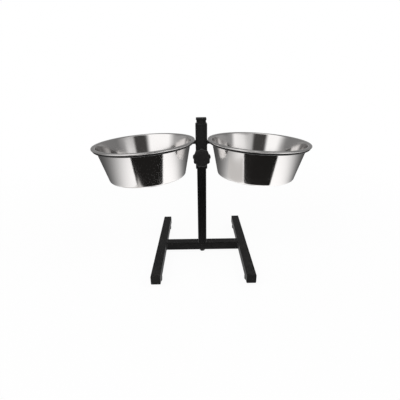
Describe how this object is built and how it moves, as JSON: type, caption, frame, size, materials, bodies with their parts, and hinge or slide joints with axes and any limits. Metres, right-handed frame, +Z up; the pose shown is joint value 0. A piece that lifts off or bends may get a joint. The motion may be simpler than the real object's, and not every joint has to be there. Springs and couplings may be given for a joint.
{
  "type": "double pet bowl stand",
  "caption": "Height-adjustable pet feeder: H base of square tube, a post with a knob-clamped sliding collar, and steel bowls hung by their rims in wire rings.",
  "frame": {"origin": "on the floor, under the post's axis", "axes": "+Z up along the post, +X from the left bowl to the right bowl, +Y away from the knob towards the back"},
  "size_m": [0.5094, 0.305, 0.3525],
  "materials": {
    "powder_coat": "satin black powder coat",
    "end_plug_plastic": "moulded black plastic",
    "knob_plastic": "fine-textured black plastic",
    "rubber": "matt black rubber",
    "zinc_steel": "zinc plated",
    "brass": "turned",
    "bowl_steel": "bright polished stainless steel"
  },
  "bodies": {
    "stand": {"left_foot_tube": "powder_coat", "right_foot_tube": "powder_coat", "cross_tube": "powder_coat", "base_welds": "powder_coat", "post_tube": "powder_coat", "post_cap": "end_plug_plastic", "post_nut_plug": "zinc_steel", "post_washer": "zinc_steel", "post_bolt": "zinc_steel", "rubber_foot_screws": "zinc_steel", "left_front_end_plug": "end_plug_plastic", "left_rear_end_plug": "end_plug_plastic", "right_front_end_plug": "end_plug_plastic", "right_rear_end_plug": "end_plug_plastic", "left_front_rubber_foot": "rubber", "left_rear_rubber_foot": "rubber", "right_front_rubber_foot": "rubber", "right_rear_rubber_foot": "rubber"},
    "collar": {"collar": "powder_coat", "knob_boss": "powder_coat", "left_ring": "powder_coat", "right_ring": "powder_coat", "left_ring_lug": "powder_coat", "right_ring_lug": "powder_coat"},
    "clamp": {"clamp_pad": "brass"},
    "knob": {"knob_stud": "zinc_steel", "knob_head": "knob_plastic"},
    "left_bowl": {"left_bowl": "bowl_steel"},
    "right_bowl": {"right_bowl": "bowl_steel"}
  },
  "joints": [
    {"name": "collar_slide", "type": "slide", "parent": "stand", "child": "collar", "axis": [0, 0, 1], "range_m": [-0.165, 0.0085]},
    {"name": "clamp_travel", "type": "slide", "parent": "collar", "child": "clamp", "axis": [0, -1, 0], "range_m": [0, 0.0025]},
    {"name": "knob_turn", "type": "hinge", "parent": "clamp", "child": "knob", "pos_m": [0, -0.0415, 0.2695], "axis": [0, -1, 0], "range_deg": [0, 720]},
    {"name": "left_bowl_lift", "type": "slide", "parent": "collar", "child": "left_bowl", "axis": [-0.0482, 0, 0.9988], "range_m": [0, 0.12]},
    {"name": "right_bowl_lift", "type": "slide", "parent": "collar", "child": "right_bowl", "axis": [0.0482, 0, 0.9988], "range_m": [0, 0.12]}
  ],
  "couplings": [
    {"joint": "clamp_travel", "follows": "knob_turn", "m_per_rad": 0.00019894}
  ]
}
